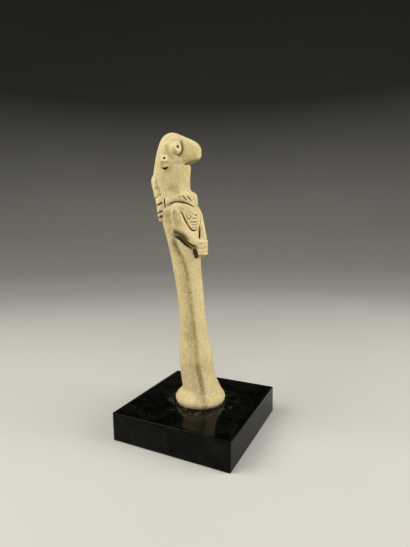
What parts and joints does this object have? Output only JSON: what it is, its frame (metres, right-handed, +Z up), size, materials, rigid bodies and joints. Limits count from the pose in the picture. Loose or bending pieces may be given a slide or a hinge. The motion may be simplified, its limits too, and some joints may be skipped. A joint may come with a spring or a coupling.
{
  "type": "terracotta votive figurine",
  "caption": "Slender hand-modelled clay pillar figure with a beaked head, pierced disc eyes, collar and folded arms, on a square black display block.",
  "frame": {"origin": "middle of the display block's underside", "axes": "+Z up the figure, -Y the way the figure faces, -X its right hand side; the block's sides run along X and Y"},
  "size_m": [0.07, 0.07, 0.169],
  "materials": {
    "terracotta": "unglazed buff clay, dry and matt, with grey-brown dirt in its hollows",
    "black_acrylic": "polished black"
  },
  "bodies": {
    "root": {"figurine": "terracotta", "plinth": "black_acrylic"}
  },
  "joints": []
}
